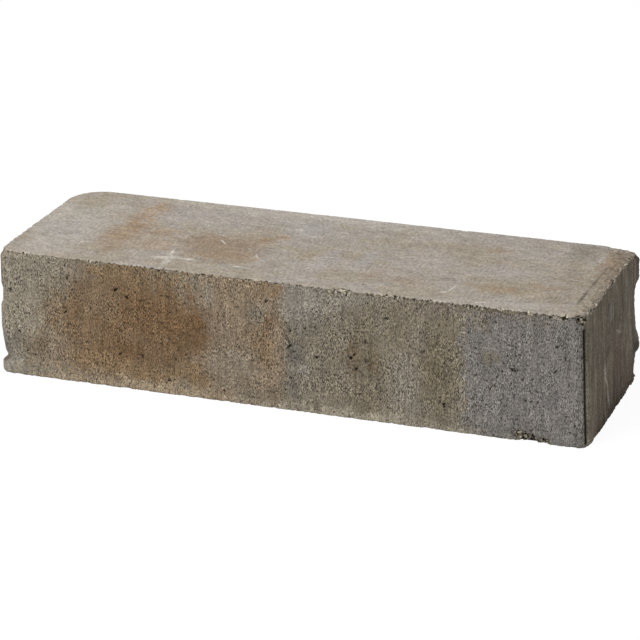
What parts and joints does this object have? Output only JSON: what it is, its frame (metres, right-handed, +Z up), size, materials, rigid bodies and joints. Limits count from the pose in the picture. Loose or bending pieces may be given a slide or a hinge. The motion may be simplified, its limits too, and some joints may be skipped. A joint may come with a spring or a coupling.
{
  "type": "garden wall block",
  "caption": "Solid pressed concrete block for building low garden walls, worn and chipped, lying on its bed.",
  "frame": {"origin": "middle of the underside", "axes": "+X along the block to the right end, +Y from the front face to the back face, +Z up"},
  "size_m": [0.454, 0.15, 0.098],
  "materials": {
    "concrete": "pressed concrete in mixed grey, brown and ochre, fine upright drag marks on the sides, a smoother pale top, open pits, matt"
  },
  "bodies": {
    "root": {"wall_block": "concrete"}
  },
  "joints": []
}
